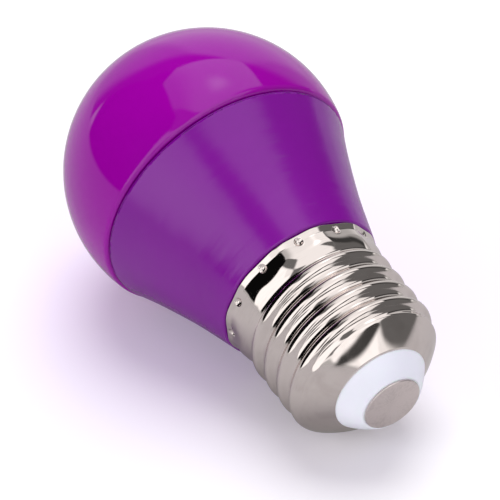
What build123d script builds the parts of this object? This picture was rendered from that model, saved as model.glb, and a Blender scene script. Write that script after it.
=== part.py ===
"""Coloured globe lamp with a round-thread screw cap, standing on its centre contact.

Millimetres, +Z up along the lamp's axis, z = 0 on the flat face of the centre contact.
The front is the -Y side: the thread and the staking dimples are timed from there.
"""
import os
from math import ceil, pi, radians, sqrt, tan

from build123d import *

os.makedirs("parts", exist_ok=True)

# Globe: a ball that stops a little below its widest line.
globe_diameter = 45.0
overall_height = 77.0
seam_drop = 6.0
seam_gap = 0.2
seam_groove_depth = 0.5
globe_edge_radius = 0.35

# Housing: a straight cone at the bottom that flares out towards the globe.
housing_height = 21.8
housing_lip_diameter = 27.4
housing_waist_diameter = 32.4
housing_waist_height = 8.5
housing_flare_diameter = 38.6
housing_flare_height = 17.0
housing_waist_slope = 0.3
housing_collar_slope = 0.42
housing_inset = 0.35
lip_edge_radius = 0.35
collar_edge_radius = 0.25
lip_gap = 0.2
lip_groove_depth = 0.5

# Screw shell: pressed sheet with a right-hand round thread of tangent arcs.
sheet_thickness = 0.3
thread_major_diameter = 26.2
thread_pitch = 3.629
thread_arc_radius = 1.025
thread_crest_at_front = 8.9
crest_land = 0.1
cutter_overrun = 0.4
shoulder_rise = 0.9
shoulder_crown = 0.25
fade_below_skirt = 2.2

# Skirt above the thread: a flared foot, a plain band and flats that are pressed in under the rim.
skirt_step = 0.02
skirt_height = 2.5
skirt_band_height = 1.2
skirt_flare_height = 2.5
skirt_flare_angle = 27.0
skirt_foot_radius = 1.2
rim_height = 0.8
rim_edge_height = 0.25
rim_overhang = 0.32
flat_depth = 0.3
flat_corner_radius = 4.3

# Staking dimples, one in the middle of each flat.
dimple_count = 12
dimple_at_front = -12.0
dimple_ball_radius = 0.75
dimple_depth = 0.36
dimple_drop = 0.25

# Insulator and centre contact.
mouth_diameter = 15.9
mouth_height = 3.55
contact_diameter = 9.6
contact_step = 0.3
contact_thickness = 0.9
contact_edge_radius = 0.12
insulator_ledge = 0.42
insulator_crown = 0.15

# Sizes that follow from the ones above.
globe_radius = globe_diameter / 2
globe_centre = overall_height - globe_radius
seam_height = globe_centre - seam_drop
seam_radius = sqrt(globe_radius**2 - seam_drop**2)
housing_top = seam_height - seam_gap
housing_bottom = housing_top - housing_height
lip_radius = housing_lip_diameter / 2
collar_radius = seam_radius - housing_inset
groove_radius = collar_radius - seam_groove_depth

major_radius = thread_major_diameter / 2
thread_depth = 2 * thread_arc_radius - sqrt(4 * thread_arc_radius**2 - thread_pitch**2 / 4)
minor_radius = major_radius - thread_depth
bore_radius = minor_radius - sheet_thickness
skirt_radius = major_radius + skirt_step
rim_top = housing_bottom - lip_gap
skirt_top = rim_top - rim_height
skirt_bottom = skirt_top - skirt_height
band_top = skirt_bottom + skirt_band_height
flat_angle = pi / dimple_count
corner_angle = dimple_at_front - 90 + 180 / dimple_count
crease_apothem = skirt_radius - flat_depth
rim_apothem = crease_apothem + rim_overhang
lip_step_radius = lip_radius - lip_edge_radius - lip_groove_depth

mouth_radius = mouth_diameter / 2
mouth_inner_radius = mouth_radius - sheet_thickness / sqrt(1 + shoulder_rise**-2)
mouth_inner_height = mouth_height + sheet_thickness / sqrt(1 + shoulder_rise**2)
neck_bottom = mouth_inner_height + (bore_radius - mouth_inner_radius) * shoulder_rise
contact_radius = contact_diameter / 2
mouth = (mouth_radius, mouth_height)
mouth_inner = (mouth_inner_radius, mouth_inner_height)
shoulder_end = (major_radius, mouth_height + (major_radius - mouth_radius) * shoulder_rise)


def on_root(height):
    """Point of a groove's root arc, at a height from the middle of the groove."""
    return (minor_radius + thread_arc_radius - sqrt(thread_arc_radius**2 - height**2), height)


def on_crest(height):
    """Point of the crest arc beside a groove, at a height from the middle of the groove."""
    below_crest = thread_pitch / 2 - abs(height)
    return (major_radius - thread_arc_radius + sqrt(thread_arc_radius**2 - below_crest**2), height)


def bowed(start, end, crown):
    """Middle point of an arc from start to end that bows outwards by the crown."""
    across, up = end[0] - start[0], end[1] - start[1]
    length = sqrt(across**2 + up**2)
    middle = ((start[0] + end[0]) / 2, (start[1] + end[1]) / 2)
    return (middle[0] + crown * up / length, middle[1] - crown * across / length)


# Centre contact: a flat disc that stands proud of the insulator.
with BuildPart() as centre_contact:
    with BuildSketch(Plane.XY):
        Circle(contact_radius)
    extrude(amount=contact_thickness)
    face_edge = centre_contact.edges().filter_by(GeomType.CIRCLE).sort_by(Axis.Z)[0]
    fillet(face_edge, contact_edge_radius)

# Insulator: a shallow dome from the contact to the mouth of the shell, filling the shell's shoulder.
with BuildPart() as insulator:
    with BuildSketch(Plane.XZ):
        with BuildLine():
            ledge = (contact_radius + insulator_ledge, contact_step)
            Polyline((0, contact_thickness), (contact_radius, contact_thickness),
                     (contact_radius, contact_step), ledge)
            ThreePointArc(ledge, bowed(ledge, mouth, insulator_crown), mouth)
            Polyline(mouth, mouth_inner, (bore_radius, neck_bottom), (0, neck_bottom), (0, contact_thickness))
        make_face()
    revolve(axis=Axis.Z)

# Screw shell: a crowned shoulder and a plain barrel, in which a helical groove leaves the round thread.
with BuildPart() as screw_shell:
    with BuildSketch(Plane.XZ):
        with BuildLine():
            fade_bottom = skirt_bottom - fade_below_skirt
            fade_top = fade_bottom + major_radius - bore_radius
            ThreePointArc(mouth, bowed(mouth, shoulder_end, shoulder_crown), shoulder_end)
            Polyline(shoulder_end, (major_radius, fade_bottom), (bore_radius, fade_top), (0, fade_top),
                     (0, mouth_height), mouth)
        make_face()
    revolve(axis=Axis.Z)

    # One turn of the groove is cut again and again, from below the shoulder until it runs out of the barrel.
    groove_start = thread_crest_at_front - 1.25 * thread_pitch
    groove_turns = ceil((fade_top - groove_start) / thread_pitch)
    with BuildLine() as groove_path:
        Helix(thread_pitch, thread_pitch, minor_radius, center=(0, 0, groove_start))
    with BuildSketch(Plane((0, 0, groove_start), x_dir=(1, 0, 0), z_dir=(0, -1, 0))):
        with BuildLine():
            flank = thread_pitch / 4
            land_edge = thread_pitch / 2 - crest_land
            halfway = (flank + land_edge) / 2
            outside = major_radius + cutter_overrun
            ThreePointArc(on_crest(-land_edge), on_crest(-halfway), on_crest(-flank))
            ThreePointArc(on_root(-flank), on_root(0), on_root(flank))
            ThreePointArc(on_crest(flank), on_crest(halfway), on_crest(land_edge))
            Polyline(on_crest(land_edge), (outside, land_edge), (outside, -land_edge), on_crest(-land_edge))
        make_face()
    groove_turn = sweep(path=groove_path.wire(), is_frenet=True, mode=Mode.PRIVATE)
    for turn in range(groove_turns):
        with Locations((0, 0, turn * thread_pitch)):
            add(groove_turn, mode=Mode.SUBTRACT)

    # Flared foot and plain band of the skirt.
    with BuildSketch(Plane.XZ) as skirt_section:
        with BuildLine():
            foot_bottom = skirt_bottom - skirt_flare_height
            foot_radius = skirt_radius - skirt_flare_height * tan(radians(skirt_flare_angle))
            Polyline((0, foot_bottom), (foot_radius, foot_bottom), (skirt_radius, skirt_bottom),
                     (skirt_radius, skirt_top), (0, skirt_top), (0, foot_bottom))
        make_face()
        foot_corner = skirt_section.vertices().sort_by_distance((skirt_radius, skirt_bottom, 0))[0]
        fillet(foot_corner, skirt_foot_radius)
    revolve(axis=Axis.Z)

    # Flats pressed into the top of the skirt, deepest at the crease under the rim.
    with BuildSketch(Plane.XZ):
        with BuildLine():
            Polyline((skirt_radius, band_top), (skirt_radius + rim_overhang, band_top),
                     (skirt_radius + rim_overhang, skirt_top), (crease_apothem, skirt_top),
                     (skirt_radius, band_top))
        make_face()
    press = extrude(amount=skirt_radius * tan(flat_angle) + rim_overhang, both=True, mode=Mode.PRIVATE)
    with PolarLocations(0, dimple_count, start_angle=dimple_at_front - 90):
        add(press, mode=Mode.SUBTRACT)

    # Rim turned out from the crease, with the same soft flats.
    with BuildSketch(Plane.XY.offset(skirt_top)) as crease_section:
        RegularPolygon(crease_apothem, dimple_count, major_radius=False, rotation=corner_angle)
        fillet(crease_section.vertices(), flat_corner_radius)
    with BuildSketch(Plane.XY.offset(rim_top - rim_edge_height)) as rim_section:
        RegularPolygon(rim_apothem, dimple_count, major_radius=False, rotation=corner_angle)
        fillet(rim_section.vertices(), flat_corner_radius)
    loft()
    with BuildSketch(Plane.XY.offset(rim_top - rim_edge_height)) as edge_section:
        RegularPolygon(rim_apothem, dimple_count, major_radius=False, rotation=corner_angle)
        fillet(edge_section.vertices(), flat_corner_radius)
    extrude(amount=rim_edge_height)

    # Inside: a plain bore for the housing's neck and a cone behind the shoulder.
    with BuildSketch(Plane.XZ):
        with BuildLine():
            Polyline((0, mouth_height), mouth, mouth_inner, (bore_radius, neck_bottom), (bore_radius, rim_top),
                     (0, rim_top), (0, mouth_height))
        make_face()
    revolve(axis=Axis.Z, mode=Mode.SUBTRACT)

    # Staking dimples across the crease.
    dimple_circle = crease_apothem - dimple_depth + dimple_ball_radius
    with PolarLocations(dimple_circle, dimple_count, start_angle=dimple_at_front - 90):
        with Locations((0, 0, skirt_top - dimple_drop)):
            Sphere(dimple_ball_radius, mode=Mode.SUBTRACT)

# Housing: a solid flared body with a neck that fills the shell.
with BuildPart() as housing:
    with BuildSketch(Plane.XZ) as housing_section:
        with BuildLine():
            lip = (lip_radius, housing_bottom)
            waist = (housing_waist_diameter / 2, housing_bottom + housing_waist_height)
            flare = (housing_flare_diameter / 2, housing_bottom + housing_flare_height)
            collar = (collar_radius, housing_top)
            Polyline((0, neck_bottom), (bore_radius, neck_bottom), (bore_radius, rim_top),
                     (lip_step_radius, rim_top), (lip_step_radius, housing_bottom), lip)
            Spline(lip, waist, flare, collar, tangents=[(housing_waist_slope, 1), (housing_collar_slope, 1)])
            Polyline(collar, (0, housing_top), (0, neck_bottom))
        make_face()
        collar_corner = housing_section.vertices().sort_by_distance((*collar, 0))[0]
        fillet(collar_corner, collar_edge_radius)
        lip_corner = housing_section.vertices().sort_by_distance((*lip, 0))[0]
        fillet(lip_corner, lip_edge_radius)
    revolve(axis=Axis.Z)

# Diffuser globe: a ball with a rounded lower edge that overhangs the housing.
with BuildPart() as diffuser_globe:
    with BuildSketch(Plane.XZ) as globe_section:
        with BuildLine():
            edge = (seam_radius, seam_height)
            widest = (globe_radius, globe_centre)
            Polyline((0, housing_top), (groove_radius, housing_top), (groove_radius, seam_height), edge)
            ThreePointArc(edge, widest, (0, overall_height))
            Line((0, overall_height), (0, housing_top))
        make_face()
        edge_corner = globe_section.vertices().sort_by_distance((*edge, 0))[0]
        fillet(edge_corner, globe_edge_radius)
    revolve(axis=Axis.Z)

centre_contact.part.label = "centre_contact"
insulator.part.label = "insulator"
screw_shell.part.label = "screw_shell"
housing.part.label = "housing"
diffuser_globe.part.label = "diffuser_globe"

export_step(centre_contact.part, "parts/centre_contact.step")
export_step(insulator.part, "parts/insulator.step")
export_step(screw_shell.part, "parts/screw_shell.step")
export_step(housing.part, "parts/housing.step")
export_step(diffuser_globe.part, "parts/diffuser_globe.step")
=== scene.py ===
"""Looks of a coloured globe lamp with a 27 mm screw cap.

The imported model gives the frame. Its +Z runs up the lamp's axis from the face of the
centre contact, and the photograph looks at the -Y side from below. The lamp lies on a
white floor there, so the floor leans in this frame. All lengths are in metres.
"""
import logging
import math
from dataclasses import asdict, dataclass
from enum import Enum
from typing import ClassVar

import bmesh
import bpy
from mathutils import Matrix, Vector


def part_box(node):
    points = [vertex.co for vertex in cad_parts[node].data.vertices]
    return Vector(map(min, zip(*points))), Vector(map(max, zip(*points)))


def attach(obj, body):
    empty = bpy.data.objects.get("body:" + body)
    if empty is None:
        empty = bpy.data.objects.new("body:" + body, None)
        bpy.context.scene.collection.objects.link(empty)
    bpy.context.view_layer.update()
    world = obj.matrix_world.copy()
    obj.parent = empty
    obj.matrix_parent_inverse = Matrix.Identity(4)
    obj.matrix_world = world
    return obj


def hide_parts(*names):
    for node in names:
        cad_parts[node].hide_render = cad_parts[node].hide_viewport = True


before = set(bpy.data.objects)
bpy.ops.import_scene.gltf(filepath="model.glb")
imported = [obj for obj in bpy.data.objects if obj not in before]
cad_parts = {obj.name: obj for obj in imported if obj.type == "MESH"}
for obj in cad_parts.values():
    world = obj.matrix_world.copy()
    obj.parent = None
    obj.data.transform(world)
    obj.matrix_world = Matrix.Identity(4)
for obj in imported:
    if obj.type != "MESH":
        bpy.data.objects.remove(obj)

log = logging.getLogger("globe_lamp")

MM = 0.001
FULL_TURN = 2 * math.pi
TINY = 0.001 * MM


class Finish(Enum):
    """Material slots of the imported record."""

    DIFFUSER = "diffuser_plastic"
    HOUSING = "housing_plastic"
    PLATED = "plated_sheet"
    INSULATOR = "white_plastic"
    CONTACT = "contact_metal"


def soft_min(a: float, b: float, blend: float) -> float:
    """Smaller of two lengths, with a rounded change from one to the other.

    Args:
        a: First length.
        b: Second length.
        blend: Width over which the change is rounded.

    Returns:
        The rounded minimum.
    """
    near = max(blend - abs(a - b), 0.0) / blend
    return min(a, b) - near * near * blend / 4


def soft_max(a: float, b: float, blend: float) -> float:
    """Larger of two lengths, with a rounded change from one to the other."""
    return -soft_min(-a, -b, blend)


def ramp(value: float, low: float, high: float) -> float:
    """Smooth share from 0 at low to 1 at high."""
    share = min(max((value - low) / (high - low), 0.0), 1.0)
    return share * share * (3 - 2 * share)


def wrapped(angle: float, period: float) -> float:
    """Angle brought to within half a period of zero."""
    return (angle + period / 2) % period - period / 2


def arc_points(centre: tuple, radius: float, start: float, end: float, steps: int) -> list:
    """Points along an arc of a lathe outline.

    Args:
        centre: Centre as radius and height.
        radius: Radius of the arc.
        start: First angle in degrees, from the outward direction towards +Z.
        end: Last angle in degrees.
        steps: Number of straight steps.

    Returns:
        The points as pairs of radius and height.
    """
    points = []
    for index in range(steps + 1):
        angle = math.radians(start + (end - start) * index / steps)
        points.append((centre[0] + radius * math.cos(angle), centre[1] + radius * math.sin(angle)))
    return points


class Lathe:
    """Turned meshes: an outline of radius and height is spun round the lamp's axis."""

    @staticmethod
    def outline(bm: bmesh.types.BMesh, stations: list, cuts: tuple = ()) -> None:
        """Draw the outline as wire edges.

        Args:
            bm: Mesh that takes the wire.
            stations: Points as pairs of radius and height.
            cuts: Number of extra points on each stretch, if any.
        """
        corners = [bm.verts.new((radius, 0.0, height)) for radius, height in stations]
        for first, second in zip(corners, corners[1:]):
            bm.edges.new((first, second))
        for index, count in enumerate(cuts):
            bm.edges.ensure_lookup_table()
            if count:
                bmesh.ops.subdivide_edges(bm, edges=[bm.edges[index]], cuts=count)

    @staticmethod
    def spin(bm: bmesh.types.BMesh, segments: int) -> None:
        """Spin the whole wire round the axis and close the poles.

        Args:
            bm: Mesh that holds the wire.
            segments: Number of steps round the full turn.
        """
        wire = bm.verts[:] + bm.edges[:]
        bmesh.ops.spin(bm, geom=wire, cent=(0, 0, 0), axis=(0, 0, 1), dvec=(0, 0, 0),
                       angle=FULL_TURN, steps=segments, use_merge=True, use_duplicate=False)
        bmesh.ops.remove_doubles(bm, verts=bm.verts, dist=TINY)
        bmesh.ops.recalc_face_normals(bm, faces=bm.faces)


def finished(name: str, bm: bmesh.types.BMesh) -> bpy.types.Object:
    """Turn a bmesh into a smooth-shaded object at the origin.

    Args:
        name: Name of the piece.
        bm: Mesh of the piece, which is freed.

    Returns:
        The new object, linked to the scene.
    """
    mesh = bpy.data.meshes.new(name)
    bm.to_mesh(mesh)
    bm.free()
    for polygon in mesh.polygons:
        polygon.use_smooth = True
    piece = bpy.data.objects.new(name, mesh)
    bpy.context.scene.collection.objects.link(piece)
    log.info("%s: %d faces", name, len(mesh.polygons))
    return piece


def round_ring(bm: bmesh.types.BMesh, corner: tuple, width: float, segments: int) -> None:
    """Round a ring of edges, and turn the faces outwards.

    Args:
        bm: Mesh of the piece.
        corner: Radius and height of the ring.
        width: Width of the rounding.
        segments: Number of steps across it.
    """
    ring = [edge for edge in bm.edges
            if all(abs(math.hypot(vert.co.x, vert.co.y) - corner[0]) < TINY
                   and abs(vert.co.z - corner[1]) < TINY for vert in edge.verts)]
    bmesh.ops.bevel(bm, geom=ring, offset=width, offset_type="OFFSET", segments=segments, profile=0.5,
                    affect="EDGES", material=-1, clamp_overlap=True)
    bmesh.ops.recalc_face_normals(bm, faces=bm.faces)


class Wiring:
    """A node tree with short calls for placing and joining nodes."""

    def __init__(self, tree: bpy.types.NodeTree) -> None:
        """Keep the tree and empty it."""
        self.tree = tree
        self.tree.nodes.clear()

    def node(self, kind: str, inputs: dict | None = None, **settings: object) -> bpy.types.Node:
        """Place a shader node.

        Args:
            kind: Node type without its prefix, such as Math.
            inputs: Socket or value for each input, by name or number.
            settings: Properties of the node by name.

        Returns:
            The node.
        """
        node = self.tree.nodes.new("ShaderNode" + kind)
        for key, value in settings.items():
            setattr(node, key, value)
        for key, value in (inputs or {}).items():
            if isinstance(value, bpy.types.NodeSocket):
                self.tree.links.new(value, node.inputs[key])
            else:
                node.inputs[key].default_value = value
        return node

    def place(self) -> object:
        """Socket with the place in Object coordinates."""
        return self.node("TexCoord").outputs["Object"]

    def math(self, operation: str, *values: object) -> object:
        """Output socket of a Math node, from sockets or numbers."""
        return self.node("Math", dict(enumerate(values)), operation=operation).outputs[0]

    def blend(self, share: object, first: object, second: object) -> object:
        """Colour socket of a mix, by the share of the second colour."""
        return self.node("Mix", {0: share, 6: first, 7: second}, data_type="RGBA").outputs[2]

    def share(self, value: object, low: object, high: object, kind: str = "LINEAR") -> object:
        """Socket with the share of the way that a value has gone from low to high."""
        inputs = {"Value": value, "From Min": low, "From Max": high}
        return self.node("MapRange", inputs, interpolation_type=kind).outputs["Result"]

    def noise(self, place: object, scale: object, detail: float = 2.0, roughness: float = 0.5) -> object:
        """Socket with the value of a noise texture."""
        inputs = {"Vector": place, "Scale": scale, "Detail": detail, "Roughness": roughness}
        return self.node("TexNoise", inputs).outputs["Fac"]

    def surface(self, shader: bpy.types.Node, output: str = "OutputMaterial") -> None:
        """Join a shader to the surface of the tree's output."""
        self.node(output, {"Surface": shader.outputs[0]})


def node_material(name: str) -> tuple:
    """New material with nodes, and its wiring."""
    material = bpy.data.materials.new(name)
    material.use_nodes = True
    return material, Wiring(material.node_tree)


def as_linear(*display: int) -> tuple:
    """Linear colour with alpha from a display colour of 0 to 255."""
    shares = [value / 255 for value in display]
    return tuple(share / 12.92 if share <= 0.04045 else ((share + 0.055) / 1.055) ** 2.4 for share in shares) + (1.0,)


class SurfaceGroups:
    """Shader node groups that several finishes share."""

    KINDS = {"VALUE": "Float", "VECTOR": "Vector", "RGBA": "Color"}
    FLANK_SLOPE = 0.7

    def __init__(self) -> None:
        """Build each group once."""
        self.groups = {"mottle": self._mottle(), "ripple": self._ripple(),
                       "scuffs": self._scuffs(), "side": self._side()}

    def place(self, wiring: Wiring, name: str, **values: object) -> object:
        """Place a group in a tree.

        Args:
            wiring: Wiring of the material.
            name: Name of the group.
            values: Socket or value for each input, by its name in small letters with underscores.

        Returns:
            The group's outputs.
        """
        inputs = {key.replace("_", " ").title(): value for key, value in values.items()}
        return wiring.node("Group", inputs, node_tree=self.groups[name]).outputs

    @staticmethod
    def _open(name: str, inputs: dict) -> tuple:
        """Start a group.

        Args:
            name: Name of the group.
            inputs: Value of each input by name: a number, a vector or a colour.

        Returns:
            The group's wiring and the sockets of its inputs.
        """
        group = bpy.data.node_groups.new(name, "ShaderNodeTree")
        for label, value in inputs.items():
            kind = {3: "Vector", 4: "Color"}[len(value)] if isinstance(value, tuple) else "Float"
            socket = group.interface.new_socket(name=label, in_out="INPUT", socket_type="NodeSocket" + kind)
            socket.default_value = value
        wiring = Wiring(group)
        return wiring, group.nodes.new("NodeGroupInput").outputs

    @classmethod
    def _close(cls, wiring: Wiring, outputs: dict) -> bpy.types.NodeTree:
        """Give a group its outputs.

        Args:
            wiring: Wiring of the group.
            outputs: The socket that feeds each output, by name.

        Returns:
            The group.
        """
        for label, source in outputs.items():
            wiring.tree.interface.new_socket(name=label, in_out="OUTPUT",
                                             socket_type="NodeSocket" + cls.KINDS[source.type])
        result = wiring.tree.nodes.new("NodeGroupOutput")
        for label, source in outputs.items():
            wiring.tree.links.new(source, result.inputs[label])
        return wiring.tree

    @classmethod
    def _round_axis(cls, wiring: Wiring, across: object, along: object) -> object:
        """Texture place that changes slowly round the lamp's axis and fast along its slope.

        Args:
            wiring: Wiring of the group.
            across: Socket with the changes per metre across the streaks.
            along: Socket with the changes round the axis.

        Returns:
            The vector socket.
        """
        apart = wiring.node("SeparateXYZ", {"Vector": wiring.place()}).outputs
        turn = wiring.math("ARCTAN2", apart["Y"], apart["X"])
        squares = [wiring.math("POWER", apart[axis], 2.0) for axis in "XY"]
        flat = wiring.math("POWER", wiring.math("ADD", *squares), 0.5)
        slope = wiring.math("SUBTRACT", apart["Z"], wiring.math("MULTIPLY", flat, cls.FLANK_SLOPE))
        return wiring.node("CombineXYZ", {
            "X": wiring.math("MULTIPLY", wiring.math("SINE", turn), along),
            "Y": wiring.math("MULTIPLY", wiring.math("COSINE", turn), along),
            "Z": wiring.math("MULTIPLY", slope, across)}).outputs["Vector"]

    def _mottle(self) -> bpy.types.NodeTree:
        """Slow cloudy change between two colours, with a matching mask.

        Returns:
            The group.
        """
        wiring, given = self._open("mottle", {
            "Colour": (0.5, 0.5, 0.5, 1), "Shade": (0.4, 0.4, 0.4, 1), "Scale": 100.0, "Amount": 0.5})
        clouds = wiring.share(wiring.noise(wiring.place(), given["Scale"], 5.0, 0.6), 0.3, 0.7)
        share = wiring.math("MULTIPLY", clouds, given["Amount"])
        return self._close(wiring, {"Colour": wiring.blend(share, given["Colour"], given["Shade"]), "Mask": share})

    def _ripple(self) -> bpy.types.NodeTree:
        """Gentle unevenness of a moulded or pressed surface, as a normal.

        Returns:
            The group.
        """
        wiring, given = self._open("ripple", {
            "Wave Scale": 60.0, "Wave Height": 0.00001, "Grain Scale": 3000.0, "Grain Height": 0.000001,
            "Streak Across": 1500.0, "Streak Along": 2.0, "Streak Height": 0.0})
        streaks = self._round_axis(wiring, given["Streak Across"], given["Streak Along"])
        waves, grain, streak = (
            wiring.math("MULTIPLY", wiring.noise(place, scale, 3.0), given[label + " Height"])
            for label, place, scale in (("Wave", wiring.place(), given["Wave Scale"]),
                                        ("Grain", wiring.place(), given["Grain Scale"]), ("Streak", streaks, 1.0)))
        height = wiring.math("ADD", wiring.math("ADD", waves, grain), streak)
        bump = wiring.node("Bump", {"Distance": 1.0, "Height": height})
        return self._close(wiring, {"Normal": bump.outputs["Normal"]})

    def _scuffs(self) -> bpy.types.NodeTree:
        """Fine marks that run round the axis, where the sheet was rolled and handled.

        Returns:
            The group.
        """
        wiring, given = self._open("scuffs", {"Across": 9000.0, "Along": 6.0, "Cover": 0.5})
        lines = wiring.noise(self._round_axis(wiring, given["Across"], given["Along"]), 1.0, 4.0)
        worn = wiring.noise(wiring.place(), 220.0)
        marks = wiring.share(wiring.math("MULTIPLY", lines, worn), 0.22, 0.42)
        return self._close(wiring, {"Mask": wiring.math("MULTIPLY", marks, given["Cover"])})

    def _side(self) -> bpy.types.NodeTree:
        """Soft mask of the half of the dome that lies on one side of a plane through its middle.

        Returns:
            The group.
        """
        wiring, given = self._open("side", {
            "Direction": (0.0, 0.0, 1.0), "Inward": (0.0, 0.0, 1.0), "Softness": 0.05})
        reach = wiring.node("VectorMath", {0: given["Direction"], 1: given["Inward"]}, operation="DOT_PRODUCT")
        low = wiring.math("MULTIPLY", given["Softness"], -1.0)
        return self._close(wiring, {
            "Mask": wiring.share(reach.outputs["Value"], low, given["Softness"], "SMOOTHSTEP")})


@dataclass(frozen=True)
class Skin:
    """Unevenness of a surface: waves, grain, and streaks that run round the axis."""

    wave_scale: float
    wave_height: float
    grain_scale: float
    grain_height: float
    streak_across: float = 600.0
    streak_along: float = 2.0
    streak_height: float = 0.0


@dataclass(frozen=True)
class Plastic:
    """Moulded plastic: colour with a slow mottle, gloss, and a moulded skin."""

    name: str
    colour: tuple
    shade: tuple
    mottle_scale: float
    mottle_amount: float
    roughness: float
    rough_spread: float
    skin: Skin
    scatter: float
    scatter_depth: float
    scatter_radius: tuple = (1.0, 0.4, 1.0)
    specular: float = 0.5

    def build(self, groups: SurfaceGroups) -> bpy.types.Material:
        """Make the material.

        Args:
            groups: Shared node groups.

        Returns:
            The material.
        """
        material, wiring = node_material(self.name)
        mottle = groups.place(wiring, "mottle", colour=as_linear(*self.colour), shade=as_linear(*self.shade),
                              scale=self.mottle_scale, amount=self.mottle_amount)
        ripple = groups.place(wiring, "ripple", **asdict(self.skin))
        spread = wiring.math("MULTIPLY", mottle["Mask"], self.rough_spread)
        wiring.surface(wiring.node("BsdfPrincipled", {
            "Base Color": mottle["Colour"], "Roughness": wiring.math("ADD", spread, self.roughness),
            "Normal": ripple["Normal"], "Specular IOR Level": self.specular, "Subsurface Weight": self.scatter,
            "Subsurface Scale": self.scatter_depth, "Subsurface Radius": self.scatter_radius}))
        return material


@dataclass(frozen=True)
class Metal:
    """Plated or plain metal: colour, polish, and fine marks that run round the axis."""

    name: str
    colour: tuple
    marked_colour: tuple
    roughness: float
    marked_roughness: float
    marks_across: float
    marks_along: float
    cover: float
    skin: Skin

    def build(self, groups: SurfaceGroups) -> bpy.types.Material:
        """Make the material.

        Args:
            groups: Shared node groups.

        Returns:
            The material.
        """
        material, wiring = node_material(self.name)
        marks = groups.place(wiring, "scuffs", across=self.marks_across, along=self.marks_along,
                             cover=self.cover)["Mask"]
        ripple = groups.place(wiring, "ripple", **asdict(self.skin))
        rougher = wiring.math("MULTIPLY", marks, self.marked_roughness - self.roughness)
        wiring.surface(wiring.node("BsdfPrincipled", {
            "Base Color": wiring.blend(marks, as_linear(*self.colour), as_linear(*self.marked_colour)),
            "Metallic": 1.0, "Roughness": wiring.math("ADD", rougher, self.roughness),
            "Normal": ripple["Normal"]}))
        return material


def dress(piece: bpy.types.Object, material: bpy.types.Material, node: str) -> None:
    """Give a piece its material and put it in the place of its CAD node.

    Args:
        piece: The finished piece.
        material: Its material.
        node: The CAD node that it stands for.
    """
    piece.data.materials.clear()
    piece.data.materials.append(material)
    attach(piece, "root")
    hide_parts(node)


class LampPiece:
    """A piece of the lamp that takes the place of one CAD node."""

    node: ClassVar[str]
    slot: ClassVar[Finish]

    def make(self, groups: SurfaceGroups) -> None:
        """Build the piece and dress it."""
        dress(self.build(), self.finish.build(groups), self.node)


@dataclass
class DiffuserGlobe(LampPiece):
    """The coloured ball, cut off a little below its widest line, with a rounded lower edge."""

    node: ClassVar[str] = "diffuser_globe"
    slot: ClassVar[Finish] = Finish.DIFFUSER
    edge_round: float = 0.9 * MM
    groove_depth: float = 0.5 * MM
    seam_gap: float = 0.2 * MM
    ball_steps: int = 120
    edge_steps: int = 14
    segments: int = 224
    finish: Plastic = Plastic(
        name="gloss_magenta", colour=(154, 1, 157), shade=(148, 0, 152), mottle_scale=45.0, mottle_amount=0.6,
        roughness=0.05, rough_spread=0.02, skin=Skin(70.0, 0.004 * MM, 900.0, 0.00012 * MM),
        scatter=0.12, scatter_depth=1.5 * MM, specular=0.41)

    def __post_init__(self) -> None:
        """Take the ball's place and size from the CAD node."""
        low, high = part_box("diffuser_globe")
        self.radius = (high.x - low.x) / 2
        self.centre = high.z - self.radius
        self.bottom = low.z
        self.seam = low.z + self.seam_gap
        self.seam_radius = math.sqrt(self.radius**2 - (self.centre - self.seam)**2)

    def build(self) -> bpy.types.Object:
        """Turn the ball from the outline of its skin, its rounded edge and its groove.

        Returns:
            The piece.
        """
        inner = self.radius - self.edge_round
        edge_height = self.seam + self.edge_round
        edge_radius = math.sqrt(inner**2 - (self.centre - edge_height)**2)
        meeting = math.degrees(math.atan2(edge_height - self.centre, edge_radius))
        ball = arc_points((0.0, self.centre), self.radius, 90.0, meeting, self.ball_steps)
        lower_edge = arc_points((edge_radius, edge_height), self.edge_round, meeting, -90.0, self.edge_steps)
        groove = self.seam_radius - self.groove_depth - self.edge_round
        bm = bmesh.new()
        outline = ball + lower_edge[1:] + [(groove, self.seam), (groove, self.bottom), (0.0, self.bottom)]
        Lathe.outline(bm, outline)
        Lathe.spin(bm, self.segments)
        return finished("diffuser_ball", bm)


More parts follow.
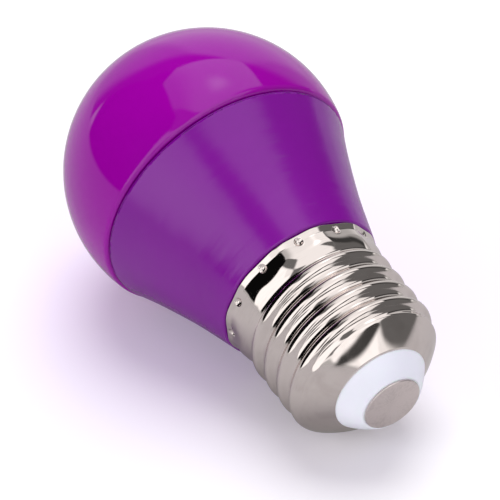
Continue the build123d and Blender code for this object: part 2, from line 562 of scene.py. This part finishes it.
@dataclass
class Housing(LampPiece):
    """The moulded flared body between the cap and the globe."""

    node: ClassVar[str] = "housing"
    slot: ClassVar[Finish] = Finish.HOUSING
    lip_radius: float = 13.7 * MM
    lip_round: float = 0.35 * MM
    waist_radius: float = 16.2 * MM
    waist_rise: float = 8.5 * MM
    flare_radius: float = 19.3 * MM
    flare_rise: float = 17.0 * MM
    collar_radius: float = 21.335 * MM
    collar_round: float = 0.25 * MM
    lip_height: float = 26.5 * MM
    lip_step: float = 12.85 * MM
    neck_radius: float = 11.70 * MM
    rim_top: float = 26.3 * MM
    lip_slope: float = 0.3
    collar_slope: float = 0.42
    flank_steps: int = 22
    segments: int = 224
    finish: Plastic = Plastic(
        name="satin_violet", colour=(126, 4, 146), shade=(119, 3, 139), mottle_scale=60.0, mottle_amount=0.7,
        roughness=0.2, rough_spread=0.06, scatter=0.04, scatter_depth=0.6 * MM,
        skin=Skin(220.0, 0.006 * MM, 2600.0, 0.0022 * MM, streak_across=700.0, streak_along=1.4,
                  streak_height=0.085 * MM))

    def __post_init__(self) -> None:
        """Take the ends of the body from the CAD node."""
        low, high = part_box("housing")
        self.neck_bottom = low.z
        self.top = high.z

    def flank(self) -> list:
        """Points of the flared side, from the lip up to the collar.

        Returns:
            The points as pairs of radius and height.
        """
        knots = [(self.lip_height, self.lip_radius), (self.lip_height + self.waist_rise, self.waist_radius),
                 (self.lip_height + self.flare_rise, self.flare_radius), (self.top, self.collar_radius)]
        slopes = [self.lip_slope]
        for before, after in zip(knots, knots[2:]):
            slopes.append((after[1] - before[1]) / (after[0] - before[0]))
        slopes.append(self.collar_slope)
        points = []
        for index in range(len(knots) - 1):
            (low, inner), (high, outer) = knots[index], knots[index + 1]
            rise = high - low
            for step in range(self.flank_steps + (index == len(knots) - 2)):
                share = step / self.flank_steps
                radius = ((2 * share**3 - 3 * share**2 + 1) * inner + (3 * share**2 - 2 * share**3) * outer
                          + (share**3 - 2 * share**2 + share) * rise * slopes[index]
                          + (share**3 - share**2) * rise * slopes[index + 1])
                points.append((radius, low + rise * share))
        return points

    def build(self) -> bpy.types.Object:
        """Turn the body, then round its lip and its collar.

        Returns:
            The piece.
        """
        side = self.flank()
        outline = [(0.0, self.neck_bottom), (self.neck_radius, self.neck_bottom), (self.neck_radius, self.rim_top),
                   (self.lip_step, self.rim_top), (self.lip_step, self.lip_height)] + side + [(0.0, self.top)]
        bm = bmesh.new()
        Lathe.outline(bm, outline)
        Lathe.spin(bm, self.segments)
        round_ring(bm, side[0], self.lip_round, segments=6)
        round_ring(bm, side[-1], self.collar_round, segments=6)
        return finished("housing_body", bm)


@dataclass
class ScrewShell(LampPiece):
    """The plated sheet shell: shoulder, rolled thread, flared foot, skirt with flats, rim and dimples."""

    node: ClassVar[str] = "screw_shell"
    slot: ClassVar[Finish] = Finish.PLATED
    major_radius: float = 13.1 * MM
    pitch: float = 3.629 * MM
    arc_radius: float = 1.025 * MM
    crest_at_front: float = 8.9 * MM
    sheet: float = 0.3 * MM
    mouth_radius: float = 7.95 * MM
    shoulder_rise: float = 0.9
    shoulder_crown: float = 0.27 * MM
    shoulder_blend: float = 0.4 * MM
    shoulder_top: float = 6.6 * MM
    shoulder_end: float = 1.4
    fade_height: float = 20.8 * MM
    fade_blend: float = 0.6 * MM
    foot_top: float = 23.0 * MM
    foot_angle: float = 27.0
    foot_blend: float = 0.6 * MM
    thread_top: float = 22.6 * MM
    skirt_radius: float = 13.12 * MM
    band_top: float = 24.2 * MM
    crease_height: float = 25.4 * MM
    flat_depth: float = 0.17 * MM
    corner_radius: float = 7.0 * MM
    rim_overhang: float = 0.42 * MM
    rim_turn: float = 0.8 * MM
    rim_round: float = 0.08 * MM
    dimple_count: int = 12
    dimple_at_front: float = -12.0
    dimple_ball: float = 0.75 * MM
    dimple_depth: float = 0.36 * MM
    dimple_drop: float = 0.15 * MM
    dimple_blend: float = 0.12 * MM
    burr_height: float = 0.05 * MM
    burr_width: float = 0.11 * MM
    blank_radius: float = 13.755 * MM
    rows: tuple = (14, 103, 7, 20, 1, 5)
    segments: int = 480
    bunching: float = 0.6
    bunching_reach: float = 1.2 * MM
    finish: Metal = Metal(
        name="polished_nickel", colour=(228, 219, 215), marked_colour=(206, 196, 191), roughness=0.055,
        marked_roughness=0.16, marks_across=5200.0, marks_along=5.0, cover=0.45,
        skin=Skin(160.0, 0.003 * MM, 5000.0, 0.00012 * MM, streak_across=1500.0, streak_along=3.0,
                  streak_height=0.0035 * MM))

    def __post_init__(self) -> None:
        """Take the ends of the shell from the CAD node."""
        low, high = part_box("screw_shell")
        self.mouth_height = low.z
        self.top = high.z
        half_pitch = self.pitch / 2
        depth = 2 * self.arc_radius - math.sqrt(4 * self.arc_radius**2 - half_pitch**2)
        self.minor_radius = self.major_radius - depth
        self.bore_radius = self.minor_radius - self.sheet
        self.flat_period = FULL_TURN / self.dimple_count

    def thread(self, height: float, turn: float) -> float:
        """Radius of the rolled thread, of two tangent arcs.

        Args:
            height: Height above the contact face.
            turn: Angle from the front, towards +X.

        Returns:
            The radius.
        """
        crest = self.crest_at_front + self.pitch * turn / FULL_TURN
        offset = abs(wrapped(height - crest, self.pitch))
        if offset <= self.pitch / 4:
            return self.major_radius - self.arc_radius + math.sqrt(self.arc_radius**2 - offset**2)
        rest = self.pitch / 2 - offset
        return self.minor_radius + self.arc_radius - math.sqrt(self.arc_radius**2 - rest**2)

    def shoulder(self, height: float) -> float:
        """Radius of the crowned cone between the mouth and the thread.

        Args:
            height: Height above the contact face.

        Returns:
            The radius.
        """
        run = (height - self.mouth_height) / self.shoulder_rise
        share = min(max(run / (self.major_radius - self.mouth_radius), 0.0), self.shoulder_end)
        bulge = self.shoulder_crown * 4 * share * (1 - share) * math.sqrt(1 + self.shoulder_rise**-2)
        return self.mouth_radius + run + bulge

    def foot(self, height: float) -> float:
        """Radius of the flared foot below the skirt."""
        return self.skirt_radius - (self.foot_top - height) * math.tan(math.radians(self.foot_angle))

    def flats(self, height: float, turn: float) -> float:
        """Radius of the twelve-sided skirt with soft corners, and of the rim turned out above it.

        Args:
            height: Height above the contact face.
            turn: Angle from the front, towards +X.

        Returns:
            The radius.
        """
        turned = self.rim_overhang * min(max((height - self.crease_height) / self.rim_turn, 0.0), 1.0)
        apothem = self.skirt_radius - self.flat_depth + turned
        from_flat = abs(wrapped(turn - math.radians(self.dimple_at_front), self.flat_period))
        inner = apothem - self.corner_radius
        half_side = inner * math.tan(self.flat_period / 2)
        if apothem * math.tan(from_flat) <= half_side:
            return apothem / math.cos(from_flat)
        along = inner * math.cos(from_flat) + half_side * math.sin(from_flat)
        return along + math.sqrt(self.corner_radius**2 - inner**2 - half_side**2 + along**2)

    def dimpled(self, radius: float, height: float, turn: float) -> float:
        """Radius after the staking dimples are punched, with a small burr round each.

        Args:
            radius: Radius before.
            height: Height above the contact face.
            turn: Angle from the front, towards +X.

        Returns:
            The radius.
        """
        from_dimple = wrapped(turn - math.radians(self.dimple_at_front), self.flat_period)
        ball_centre = self.skirt_radius - self.flat_depth - self.dimple_depth + self.dimple_ball
        rise = height - (self.crease_height - self.dimple_drop)
        across = ball_centre * math.sin(from_dimple)
        spread = math.hypot(across, rise)
        mouth = math.sqrt(self.dimple_ball**2 - (self.dimple_ball - self.dimple_depth)**2)
        burr = self.burr_height * math.exp(-((spread - mouth) / self.burr_width)**2)
        if spread < self.dimple_ball:
            hollow = ball_centre * math.cos(from_dimple) - math.sqrt(self.dimple_ball**2 - spread**2)
            return soft_min(radius + burr, hollow, self.dimple_blend)
        return radius + burr

    def outer(self, height: float, turn: float) -> float:
        """Outer radius of the shell.

        Args:
            height: Height above the contact face.
            turn: Angle from the front, towards +X.

        Returns:
            The radius.
        """
        radius = soft_min(self.thread(height, turn), self.shoulder(height), self.shoulder_blend)
        fade = self.major_radius - (height - self.fade_height)
        radius = soft_min(radius, fade, self.fade_blend)
        skirt = soft_min(self.foot(height), self.flats(height, turn), self.foot_blend)
        radius = soft_max(radius, skirt, self.foot_blend)
        if height > self.band_top:
            radius = self.dimpled(radius, height, turn)
        if height > self.top - self.rim_round:
            into = height - (self.top - self.rim_round)
            radius -= self.rim_round - math.sqrt(max(self.rim_round**2 - into**2, 0.0))
        return radius

    def build(self) -> bpy.types.Object:
        """Spin a plain tube and press it to the shell's form.

        Returns:
            The piece.
        """
        mouth_inside = self.mouth_radius - self.sheet / math.sqrt(1 + self.shoulder_rise**-2)
        mouth_top = self.mouth_height + self.sheet / math.sqrt(1 + self.shoulder_rise**2)
        neck = mouth_top + (self.bore_radius - mouth_inside) * self.shoulder_rise
        heights = (self.mouth_height, self.shoulder_top, self.thread_top, self.band_top,
                   self.crease_height + self.rim_turn, self.top - self.rim_round, self.top)
        bm = bmesh.new()
        Lathe.outline(bm, [(self.blank_radius, height) for height in heights], self.rows)
        skin_count = len(bm.verts)
        inner = [(self.bore_radius, self.top), (self.bore_radius, neck), (mouth_inside, mouth_top)]
        corners = [bm.verts.new((radius, 0.0, height)) for radius, height in inner]
        bm.verts.ensure_lookup_table()
        top_vert = max(bm.verts[:skin_count], key=lambda vert: vert.co.z)
        mouth_vert = min(bm.verts[:skin_count], key=lambda vert: vert.co.z)
        for first, second in zip([top_vert] + corners, corners + [mouth_vert]):
            bm.edges.new((first, second))
        Lathe.spin(bm, self.segments)
        for vert in bm.verts:
            if math.hypot(vert.co.x, vert.co.y) < self.major_radius:
                continue
            turn = math.atan2(vert.co.x, -vert.co.y)
            near_rim = ramp(vert.co.z, self.band_top - self.bunching_reach, self.band_top)
            around = (turn - math.radians(self.dimple_at_front)) * self.dimple_count
            turn -= self.bunching * near_rim * math.sin(around) / self.dimple_count
            radius = self.outer(vert.co.z, turn)
            vert.co.x = radius * math.sin(turn)
            vert.co.y = -radius * math.cos(turn)
        bmesh.ops.recalc_face_normals(bm, faces=bm.faces)
        return finished("threaded_shell", bm)


@dataclass
class Insulator(LampPiece):
    """The white plastic dome between the shell's mouth and the centre contact."""

    node: ClassVar[str] = "insulator"
    slot: ClassVar[Finish] = Finish.INSULATOR
    ledge_radius: float = 5.22 * MM
    ledge_round: float = 0.08 * MM
    contact_radius: float = 4.8 * MM
    contact_top: float = 0.9 * MM
    mouth_radius: float = 7.95 * MM
    mouth_height: float = 3.55 * MM
    mouth_step: float = 0.22 * MM
    crown: float = 0.15 * MM
    dome_steps: int = 16
    segments: int = 160
    finish: Plastic = Plastic(
        name="white_insulator", colour=(244, 248, 253), shade=(237, 243, 250), mottle_scale=120.0,
        mottle_amount=0.5, roughness=0.3, rough_spread=0.08, skin=Skin(150.0, 0.004 * MM, 2200.0, 0.0006 * MM),
        scatter=0.15, scatter_depth=0.8 * MM)

    def __post_init__(self) -> None:
        """Take the ends of the dome from the CAD node."""
        low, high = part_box("insulator")
        self.bottom = low.z
        self.top = high.z
        self.neck_radius = (high.x - low.x) / 2

    def build(self) -> bpy.types.Object:
        """Turn the dome, with a rounded ledge round the contact.

        Returns:
            The piece.
        """
        start = (self.ledge_radius, self.bottom)
        across = self.mouth_radius - start[0]
        up = self.mouth_height - start[1]
        length = math.hypot(across, up)
        side = []
        for index in range(self.dome_steps + 1):
            share = index / self.dome_steps
            bulge = 4 * self.crown * share * (1 - share)
            side.append((start[0] + across * share + bulge * up / length,
                         start[1] + up * share - bulge * across / length))
        outline = [(0.0, self.contact_top), (self.contact_radius, self.contact_top),
                   (self.contact_radius, self.bottom)] + side
        outline += [(self.mouth_radius - self.mouth_step, self.mouth_height + self.mouth_step),
                    (self.neck_radius, self.top), (0.0, self.top)]
        bm = bmesh.new()
        Lathe.outline(bm, outline)
        Lathe.spin(bm, self.segments)
        round_ring(bm, start, self.ledge_round, segments=4)
        return finished("insulator_dome", bm)


@dataclass
class CentreContact(LampPiece):
    """The flat metal disc that stands proud of the insulator."""

    node: ClassVar[str] = "centre_contact"
    slot: ClassVar[Finish] = Finish.CONTACT
    edge_round: float = 0.12 * MM
    segments: int = 160
    finish: Metal = Metal(
        name="contact_alloy", colour=(230, 219, 217), marked_colour=(210, 199, 197), roughness=0.34,
        marked_roughness=0.46, marks_across=2600.0, marks_along=9.0, cover=0.6,
        skin=Skin(200.0, 0.004 * MM, 3200.0, 0.0015 * MM))

    def build(self) -> bpy.types.Object:
        """Raise a disc and round its edge.

        Returns:
            The piece.
        """
        low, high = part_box("centre_contact")
        radius = (high.x - low.x) / 2
        bm = bmesh.new()
        bmesh.ops.create_circle(bm, cap_ends=True, segments=self.segments, radius=radius)
        bmesh.ops.translate(bm, verts=bm.verts, vec=(0, 0, high.z))
        grown = bmesh.ops.extrude_face_region(bm, geom=bm.faces[:])
        moved = [item for item in grown["geom"] if isinstance(item, bmesh.types.BMVert)]
        bmesh.ops.translate(bm, verts=moved, vec=(0, 0, low.z - high.z))
        round_ring(bm, (radius, low.z), self.edge_round, segments=5)
        piece = finished("contact_disc", bm)
        for polygon in piece.data.polygons:
            polygon.use_smooth = len(polygon.vertices) == 4
        return piece


@dataclass(frozen=True)
class Outlook:
    """A direction seen from the lamp, in the upright frame: azimuth 0 is the -Y side, 90 the +X side."""

    azimuth: float
    elevation: float

    def vector(self) -> Vector:
        """Unit vector from the lamp towards that direction."""
        turn, rise = math.radians(self.azimuth), math.radians(self.elevation)
        return Vector((math.sin(turn) * math.cos(rise), -math.cos(turn) * math.cos(rise), math.sin(rise)))


@dataclass
class PhotoCamera:
    """The photograph's camera: where it stands, what it aims at and how it leans."""

    outlook: Outlook = Outlook(azimuth=-0.216, elevation=-33.70)
    distance: float = 0.7722
    aim: tuple = (-0.0024, 0.0, 0.0379)
    lean: float = 38.38
    lens: float = 360.0
    sensor: float = 36.0
    near_clip: float = 0.05
    far_clip: float = 20.0

    def make(self) -> bpy.types.Object:
        """Place the camera and make it the scene's.

        Returns:
            The camera.
        """
        data = bpy.data.cameras.new("photo_camera")
        data.lens = self.lens
        data.sensor_width = self.sensor
        data.clip_start = self.near_clip
        data.clip_end = self.far_clip
        camera = bpy.data.objects.new("photo_camera", data)
        bpy.context.scene.collection.objects.link(camera)
        back = self.outlook.vector()
        camera.location = Vector(self.aim) + back * self.distance
        level = (-back).to_track_quat("-Z", "Y").to_matrix()
        camera.rotation_mode = "QUATERNION"
        camera.rotation_quaternion = (level @ Matrix.Rotation(math.radians(-self.lean), 3, "Z")).to_quaternion()
        bpy.context.scene.camera = camera
        return camera


@dataclass
class StudioFloor:
    """The white floor that the lamp lies on, which leans in the lamp's upright frame."""

    up: Outlook = Outlook(azimuth=30.9, elevation=11.74)
    touch: tuple = (0.0, 0.0, 54.5 * MM)
    touch_radius: float = 22.5 * MM
    radius: float = 0.42
    segments: int = 96
    fade_from: float = 0.10
    fade_to: float = 0.30
    glow: float = 0.14
    colour: tuple = (0.86, 0.86, 0.86, 1.0)
    reflected_colour: tuple = (0.51, 0.51, 0.49, 1.0)
    # Painted lilac bounce light from the globe, laid on the floor close to it.
    near_colour: tuple = (0.86, 0.81, 0.91, 1.0)
    near_reach: float = 65 * MM
    near_full: float = 16.25 * MM
    reflected_glow: float = 0.1
    thin_from: float = 8 * MM
    thin_to: float = 19 * MM

    def make(self) -> bpy.types.Object:
        """Lay the floor against the lamp's back.

        Returns:
            The floor.
        """
        up = self.up.vector()
        foot = Vector(self.touch) - up * self.touch_radius
        bm = bmesh.new()
        bmesh.ops.create_circle(bm, cap_ends=True, segments=self.segments, radius=self.radius)
        bmesh.ops.rotate(bm, verts=bm.verts, cent=(0, 0, 0), matrix=up.to_track_quat("Z", "Y").to_matrix())
        bmesh.ops.translate(bm, verts=bm.verts, vec=foot)
        bm.faces.ensure_lookup_table()
        if bm.faces[0].normal.dot(up) < 0:
            bmesh.ops.reverse_faces(bm, faces=bm.faces)
        floor = finished("studio_floor", bm)
        floor.data.materials.append(self._material(foot))
        return floor

    def _material(self, middle: Vector) -> bpy.types.Material:
        """White paper that shows its shadows, and is clear from behind and towards its edge.
        Close to the globe it is tinted lilac, as painted purple bounce light from the globe.

        Soft light passes it below the globe, which would be black from behind where it touches.

        Args:
            middle: Point of the floor below the globe.

        Returns:
            The material.
        """
        material, wiring = node_material("white_paper")
        distance = wiring.node("VectorMath", {0: wiring.place(), 1: middle}, operation="DISTANCE").outputs["Value"]
        fade = wiring.share(distance, self.fade_from, self.fade_to, "SMOOTHSTEP")
        thin = wiring.share(distance, self.thin_to, self.thin_from, "SMOOTHSTEP")
        # Painted bounce light: the paper turns lilac close to the globe.
        near = wiring.share(distance, self.near_reach, self.near_full, "SMOOTHSTEP")
        path = wiring.node("LightPath").outputs
        facing = wiring.node("NewGeometry").outputs
        passed = wiring.math("MULTIPLY", thin, path["Is Diffuse Ray"])
        clear = wiring.math("MAXIMUM", wiring.math("MAXIMUM", facing["Backfacing"], fade), passed)
        paper_with_painted_bounce = wiring.blend(near, self.colour, self.near_colour)
        seen = wiring.math("MULTIPLY", path["Is Glossy Ray"], self.reflected_glow)
        seen = wiring.math("MAXIMUM", path["Is Camera Ray"], seen)
        seen = wiring.math("MAXIMUM", seen, path["Is Transmission Ray"])
        diffuse = wiring.node("BsdfDiffuse", {
            "Color": wiring.blend(path["Is Glossy Ray"], paper_with_painted_bounce, self.reflected_colour)})
        glow = wiring.node("Emission", {"Strength": wiring.math("MULTIPLY", seen, self.glow)})
        both = wiring.node("AddShader", {0: diffuse.outputs[0], 1: glow.outputs[0]})
        through = wiring.node("BsdfTransparent")
        wiring.surface(wiring.node("MixShader", {0: clear, 1: both.outputs[0], 2: through.outputs[0]}))
        return material


@dataclass(frozen=True)
class StudioFrame:
    """Directions of the photograph's studio: up from its floor, straight ahead of the camera, and right."""

    up: Vector
    ahead: Vector
    right: Vector

    @staticmethod
    def of_photo() -> "StudioFrame":
        """Work the directions out from the camera and from the leaning floor.

        Returns:
            The studio's frame.
        """
        up = StudioFloor().up.vector()
        view = -PhotoCamera().outlook.vector()
        ahead = (view - up * view.dot(up)).normalized()
        return StudioFrame(up, ahead, ahead.cross(up))

    def towards(self, heading: float, rise: float) -> Vector:
        """Unit vector towards a place in the studio.

        Args:
            heading: Degrees to the right of straight ahead.
            rise: Degrees above the floor.

        Returns:
            The unit vector.
        """
        turn, lift = math.radians(heading), math.radians(rise)
        level = self.ahead * math.cos(turn) + self.right * math.sin(turn)
        return level * math.cos(lift) + self.up * math.sin(lift)


@dataclass(frozen=True)
class SoftLamp:
    """A round soft lamp that lights the scene. Reflections see the dome's patch in its place."""

    name: str
    heading: float
    rise: float
    distance: float
    width: float
    power: float

    def make(self, studio: StudioFrame, middle: Vector) -> bpy.types.Object:
        """Hang the lamp in its direction, facing the object.

        Args:
            studio: Directions of the studio.
            middle: The object's middle.

        Returns:
            The lamp.
        """
        data = bpy.data.lights.new(self.name, "AREA")
        data.shape = "DISK"
        data.size = self.width
        data.energy = self.power
        lamp = bpy.data.objects.new(self.name, data)
        bpy.context.scene.collection.objects.link(lamp)
        towards = studio.towards(self.heading, self.rise)
        lamp.location = middle + towards * self.distance
        lamp.rotation_mode = "QUATERNION"
        lamp.rotation_quaternion = towards.to_track_quat("Z", "Y")
        lamp.visible_camera = False
        lamp.visible_glossy = False
        return lamp


@dataclass(frozen=True)
class Patch:
    """A soft-edged area of the dome: a wall, a window to the dark room, or a lit softbox.

    Each corner is a heading and a rise in degrees, and the outline is convex. A patch with no
    corners is all that lies below the horizon.
    """

    name: str
    corners: tuple
    brightness: float
    softness: float


@dataclass
class StudioDome:
    """What polished surfaces see of the studio, painted in patches on a dome round the lamp."""

    studio: StudioFrame
    middle: Vector
    groups: SurfaceGroups
    radius: float = 2.4
    segments: int = 48
    base: float = 1.15
    tint: tuple = (1.0, 0.99, 0.985, 1.0)
    patches: tuple = (
        Patch("floor", (), 0.56, 2.5),
        Patch("ceiling", ((-75, 80), (-22, 50), (-40, 40), (-110, 55), (-130, 75)), 0.58, 11.0),
        Patch("dark_strip_left", ((-96, 50), (-93, 71), (-115, 78), (-178, 79), (-178, 50), (-145, 55)), 0.18, 2.0),
        Patch("room_left", ((-121, -2), (-121, 58), (-110, 66), (-52, 56), (-30, 26), (-58, -2)), 0.004, 1.5),
        Patch("room_left_corner", ((-53, 56), (-29, 49), (-14, 44), (-18, 30), (-45, 25)), 0.004, 1.2),
        Patch("wall_left", ((-50, -2), (-44, 38), (-26, 47.5), (12, 41.3), (12, -2)), 0.04, 1.2),
        Patch("wall_right", ((8, -2), (8, 41.3), (46, 45), (66, 46), (66, 4)), 0.05, 1.2),
        Patch("backdrop_wide", ((-42, -8), (-36, 24), (-16, 36), (24, 37), (37, 26), (44, -8)), 0.42, 6.0),
        Patch("backdrop_bright",
              ((-15, -8), (-11, 34), (-2, 40), (6, 41.5), (16, 41.5), (25, 37), (28, -8)), 0.74, 4.0),
        Patch("room_right", ((54, 4), (52, 46), (84, 48), (105, 41), (114, 33), (121, 22), (123, 10), (117, 3),
                             (100, -6), (84, -12), (74, -8)), 0.15, 4.0),
        Patch("room_right_high", ((47, 42), (52, 57), (60, 74), (66, 74), (74, 62), (84, 45)), 0.15, 2.5),
        Patch("fill_left", ((-121, -4), (-121, 51), (-157, 52), (-160, -4)), 1.38, 2.0),
        Patch("fill_right", ((124, -3), (122, 24), (116, 38), (104, 52), (150, 57), (177, 53), (178, -3)), 1.34, 2.0),
        Patch("camera_arm", ((178, -9), (119, 20), (124, 31), (171, 3)), 0.06, 2.0),
        Patch("camera", ((179, 6), (180, 31), (-166, 31), (-166, 6)), 0.22, 2.0),
        Patch("softbox_hot", ((4, 64), (16, 62), (32, 64), (36, 72), (22, 78), (0, 74)), 2.5, 6.0),
    )

    def make(self) -> bpy.types.Object:
        """Set the dome round the lamp, seen by reflections alone.

        Returns:
            The dome.
        """
        bm = bmesh.new()
        bmesh.ops.create_uvsphere(bm, u_segments=self.segments, v_segments=self.segments // 2, radius=self.radius)
        bmesh.ops.translate(bm, verts=bm.verts, vec=self.middle)
        dome = finished("studio_dome", bm)
        dome.data.materials.append(self._material())
        dome.visible_camera = False
        dome.visible_diffuse = False
        dome.visible_shadow = False
        dome.visible_transmission = False
        return dome

    def _material(self) -> bpy.types.Material:
        """Glow whose strength is painted patch by patch.

        Returns:
            The material.
        """
        material, wiring = node_material("studio_dome")
        material.cycles.emission_sampling = "NONE"
        outward = wiring.node("VectorMath", {0: wiring.place(), 1: self.middle}, operation="SUBTRACT")
        direction = wiring.node("VectorMath", {0: outward.outputs[0]}, operation="NORMALIZE").outputs[0]
        level = self.base
        for patch in self.patches:
            mask = self._mask(wiring, direction, patch)
            level = wiring.node("Mix", {0: mask, 2: level, 3: patch.brightness}, data_type="FLOAT").outputs[0]
        wiring.surface(wiring.node("Emission", {"Strength": level, "Color": self.tint}))
        return material

    def _mask(self, wiring: Wiring, direction: object, patch: Patch) -> object:
        """Share of a patch in a direction: inside all of its sides, or below the horizon if it has none.

        Args:
            wiring: Wiring of the dome's material.
            direction: Socket with the direction from the lamp.
            patch: The patch.

        Returns:
            The socket of the mask.
        """
        ends = [self.studio.towards(*corner) for corner in patch.corners]
        centre = sum(ends, Vector()).normalized()
        walls = [first.cross(second).normalized() for first, second in zip(ends, ends[1:] + ends[:1])]
        mask = None
        for wall in walls or [-self.studio.up]:
            inward = -wall if wall.dot(centre) < 0 else wall
            side = self.groups.place(wiring, "side", direction=direction, inward=inward,
                                     softness=math.sin(math.radians(patch.softness)))["Mask"]
            mask = side if mask is None else wiring.math("MULTIPLY", mask, side)
        return mask


@dataclass
class Studio:
    """Floor, lamps, dome and background of the photograph."""

    middle: tuple = (0.0, 0.0, 38.0 * MM)
    world_fill: float = 0.37
    world_tint: tuple = (1.0, 0.89, 1.10, 1.0)
    lamps: tuple = (
        SoftLamp("softbox_lamp", heading=2.0, rise=66.0, distance=0.9, width=0.85, power=6.4),
        SoftLamp("backdrop_lamp", heading=8.0, rise=22.0, distance=1.1, width=0.7, power=1.2),
        SoftLamp("fill_left_lamp", heading=-122.0, rise=25.0, distance=1.0, width=0.7, power=3.3),
        SoftLamp("fill_right_lamp", heading=146.0, rise=22.0, distance=1.0, width=0.7, power=2.4),
    )

    def make(self, groups: SurfaceGroups) -> None:
        """Set the floor, the lamps, the dome and the world.

        Args:
            groups: Shared node groups.
        """
        studio = StudioFrame.of_photo()
        middle = Vector(self.middle)
        StudioFloor().make()
        for lamp in self.lamps:
            lamp.make(studio, middle)
        StudioDome(studio, middle, groups).make()
        self._world()

    def _world(self) -> None:
        """White background for the camera and for reflections, and a softer fill for the rest."""
        world = bpy.data.worlds.new("studio_air")
        bpy.context.scene.world = world
        world.use_nodes = True
        wiring = Wiring(world.node_tree)
        path = wiring.node("LightPath").outputs
        seen = wiring.math("MAXIMUM", path["Is Camera Ray"], path["Is Glossy Ray"])
        seen = wiring.math("MAXIMUM", seen, path["Is Transmission Ray"])
        strength = wiring.math("ADD", wiring.math("MULTIPLY", seen, 1.0 - self.world_fill), self.world_fill)
        colour = wiring.blend(seen, self.world_tint, (1.0, 1.0, 1.0, 1.0))
        wiring.surface(wiring.node("Background", {"Strength": strength, "Color": colour}), "OutputWorld")


def corners(pair: tuple) -> list:
    """Two corners of a box as plain lists of numbers."""
    return [[float(value) for value in corner] for corner in pair]


def main() -> None:
    """Build the lamp's pieces, dress them, and set the photograph's studio around them."""
    logging.basicConfig(level=logging.INFO, format="%(name)s: %(message)s")
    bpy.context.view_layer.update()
    groups = SurfaceGroups()
    for part in (CentreContact(), Insulator(), ScrewShell(), Housing(), DiffuserGlobe()):
        part.make(groups)
        log.info("%s done", type(part).__name__)
    Studio().make(groups)
    PhotoCamera().make()
    bpy.context.scene.view_settings.view_transform = "Standard"
    bpy.context.view_layer.update()


if __name__ == "__main__":
    main()
